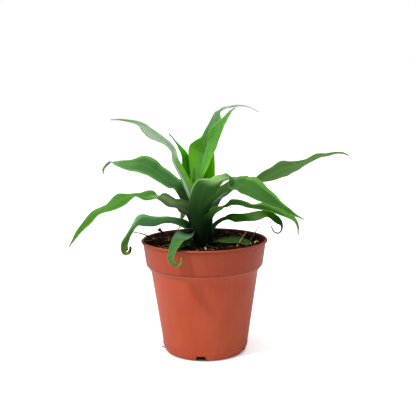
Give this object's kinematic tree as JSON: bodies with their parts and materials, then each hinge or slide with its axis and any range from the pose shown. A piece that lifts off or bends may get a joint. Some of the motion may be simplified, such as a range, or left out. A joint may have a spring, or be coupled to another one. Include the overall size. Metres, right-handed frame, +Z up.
{
  "type": "potted pineapple plant",
  "caption": "Young pineapple plant with arching, curl-tipped leaves in a plain terracotta-coloured plastic nursery pot.",
  "frame": {"origin": "centre of the pot's base disc, on the surface it stands on", "axes": "+Z up along the pot's axis, -Y towards the side the plant faces, +X to that side's right, where the longest leaf reaches"},
  "size_m": [0.2257, 0.1446, 0.2136],
  "materials": {
    "pot": "semi-matt moulded plastic, terracotta coloured",
    "soil": "moist dark peat with straw and fibre",
    "stem": "satin, dark blue-green sheaths",
    "leaf_young": "satin, bright green with fine lengthwise veins",
    "leaf_grown": "satin, mid green with fine lengthwise veins and a paler margin"
  },
  "bodies": {
    "root": {"pot": "pot", "soil": "soil", "stem": "stem", "leaf_heart_small": "leaf_young", "leaf_heart_left": "leaf_young", "leaf_heart_right": "leaf_young", "leaf_heart_back": "leaf_young", "leaf_tall": "leaf_young", "leaf_left_arch": "leaf_grown", "leaf_left_wide": "leaf_grown", "leaf_front_fold": "leaf_grown", "leaf_right_long": "leaf_grown", "leaf_left_long": "leaf_grown", "leaf_back_mid": "leaf_grown", "leaf_back_left": "leaf_grown", "leaf_back_right": "leaf_grown", "leaf_right_mid": "leaf_grown", "leaf_back_droop": "leaf_grown", "leaf_right_hook": "leaf_grown", "leaf_back_low": "leaf_grown", "leaf_left_hook": "leaf_grown", "leaf_front_curl": "leaf_grown", "leaf_soil_right": "leaf_grown", "leaf_soil_left": "leaf_grown"}
  },
  "joints": []
}
